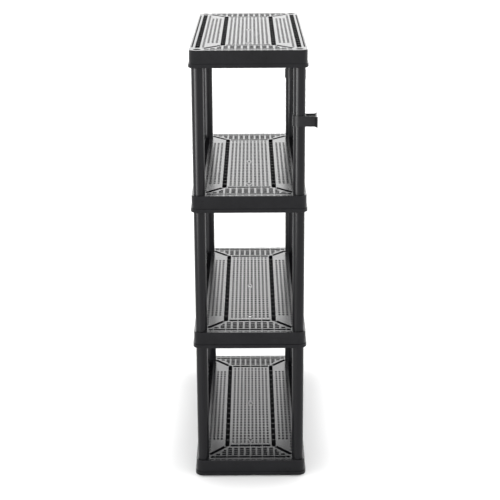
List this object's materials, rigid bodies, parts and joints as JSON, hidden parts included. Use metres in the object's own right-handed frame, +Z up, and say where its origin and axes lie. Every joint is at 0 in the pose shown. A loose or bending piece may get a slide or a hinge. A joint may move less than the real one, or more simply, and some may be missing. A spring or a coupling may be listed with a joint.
{
  "type": "ventilated plastic shelving unit",
  "caption": "Free-standing four-tier storage rack with perforated rectangular shelves, deep skirts, round push-fit corner posts, small plug feet and two forked tool clips that slide on the posts of one long side.",
  "frame": {"origin": "on the floor, at the centre of the shelf footprint", "axes": "+Z up, Y along the long side of the shelves, X across the narrow side; the two clips are on the +X posts and their prongs point along +X"},
  "size_m": [0.3849, 0.9322, 1.384],
  "materials": {
    "shelf": "satin moulded polypropylene, fine grain",
    "post": "satin extruded tube",
    "foot": "matt moulded plug",
    "clip": "satin moulded clip"
  },
  "bodies": {
    "rack": {"shelf_1": "shelf", "shelf_2": "shelf", "shelf_3": "shelf", "shelf_4": "shelf", "post_1_front_left": "post", "post_1_front_right": "post", "post_1_back_left": "post", "post_1_back_right": "post", "post_2_front_left": "post", "post_2_front_right": "post", "post_2_back_left": "post", "post_2_back_right": "post", "post_3_front_left": "post", "post_3_front_right": "post", "post_3_back_left": "post", "post_3_back_right": "post", "foot_front_left": "foot", "foot_front_right": "foot", "foot_back_left": "foot", "foot_back_right": "foot"},
    "clip_front": {"tool_clip_front": "clip"},
    "clip_back": {"tool_clip_back": "clip"}
  },
  "joints": [
    {"name": "clip_front_slide", "type": "slide", "parent": "rack", "child": "clip_front", "axis": [0, 0, 1], "range_m": [-0.205, 0.135]},
    {"name": "clip_back_slide", "type": "slide", "parent": "rack", "child": "clip_back", "axis": [0, 0, 1], "range_m": [-0.205, 0.135]}
  ]
}
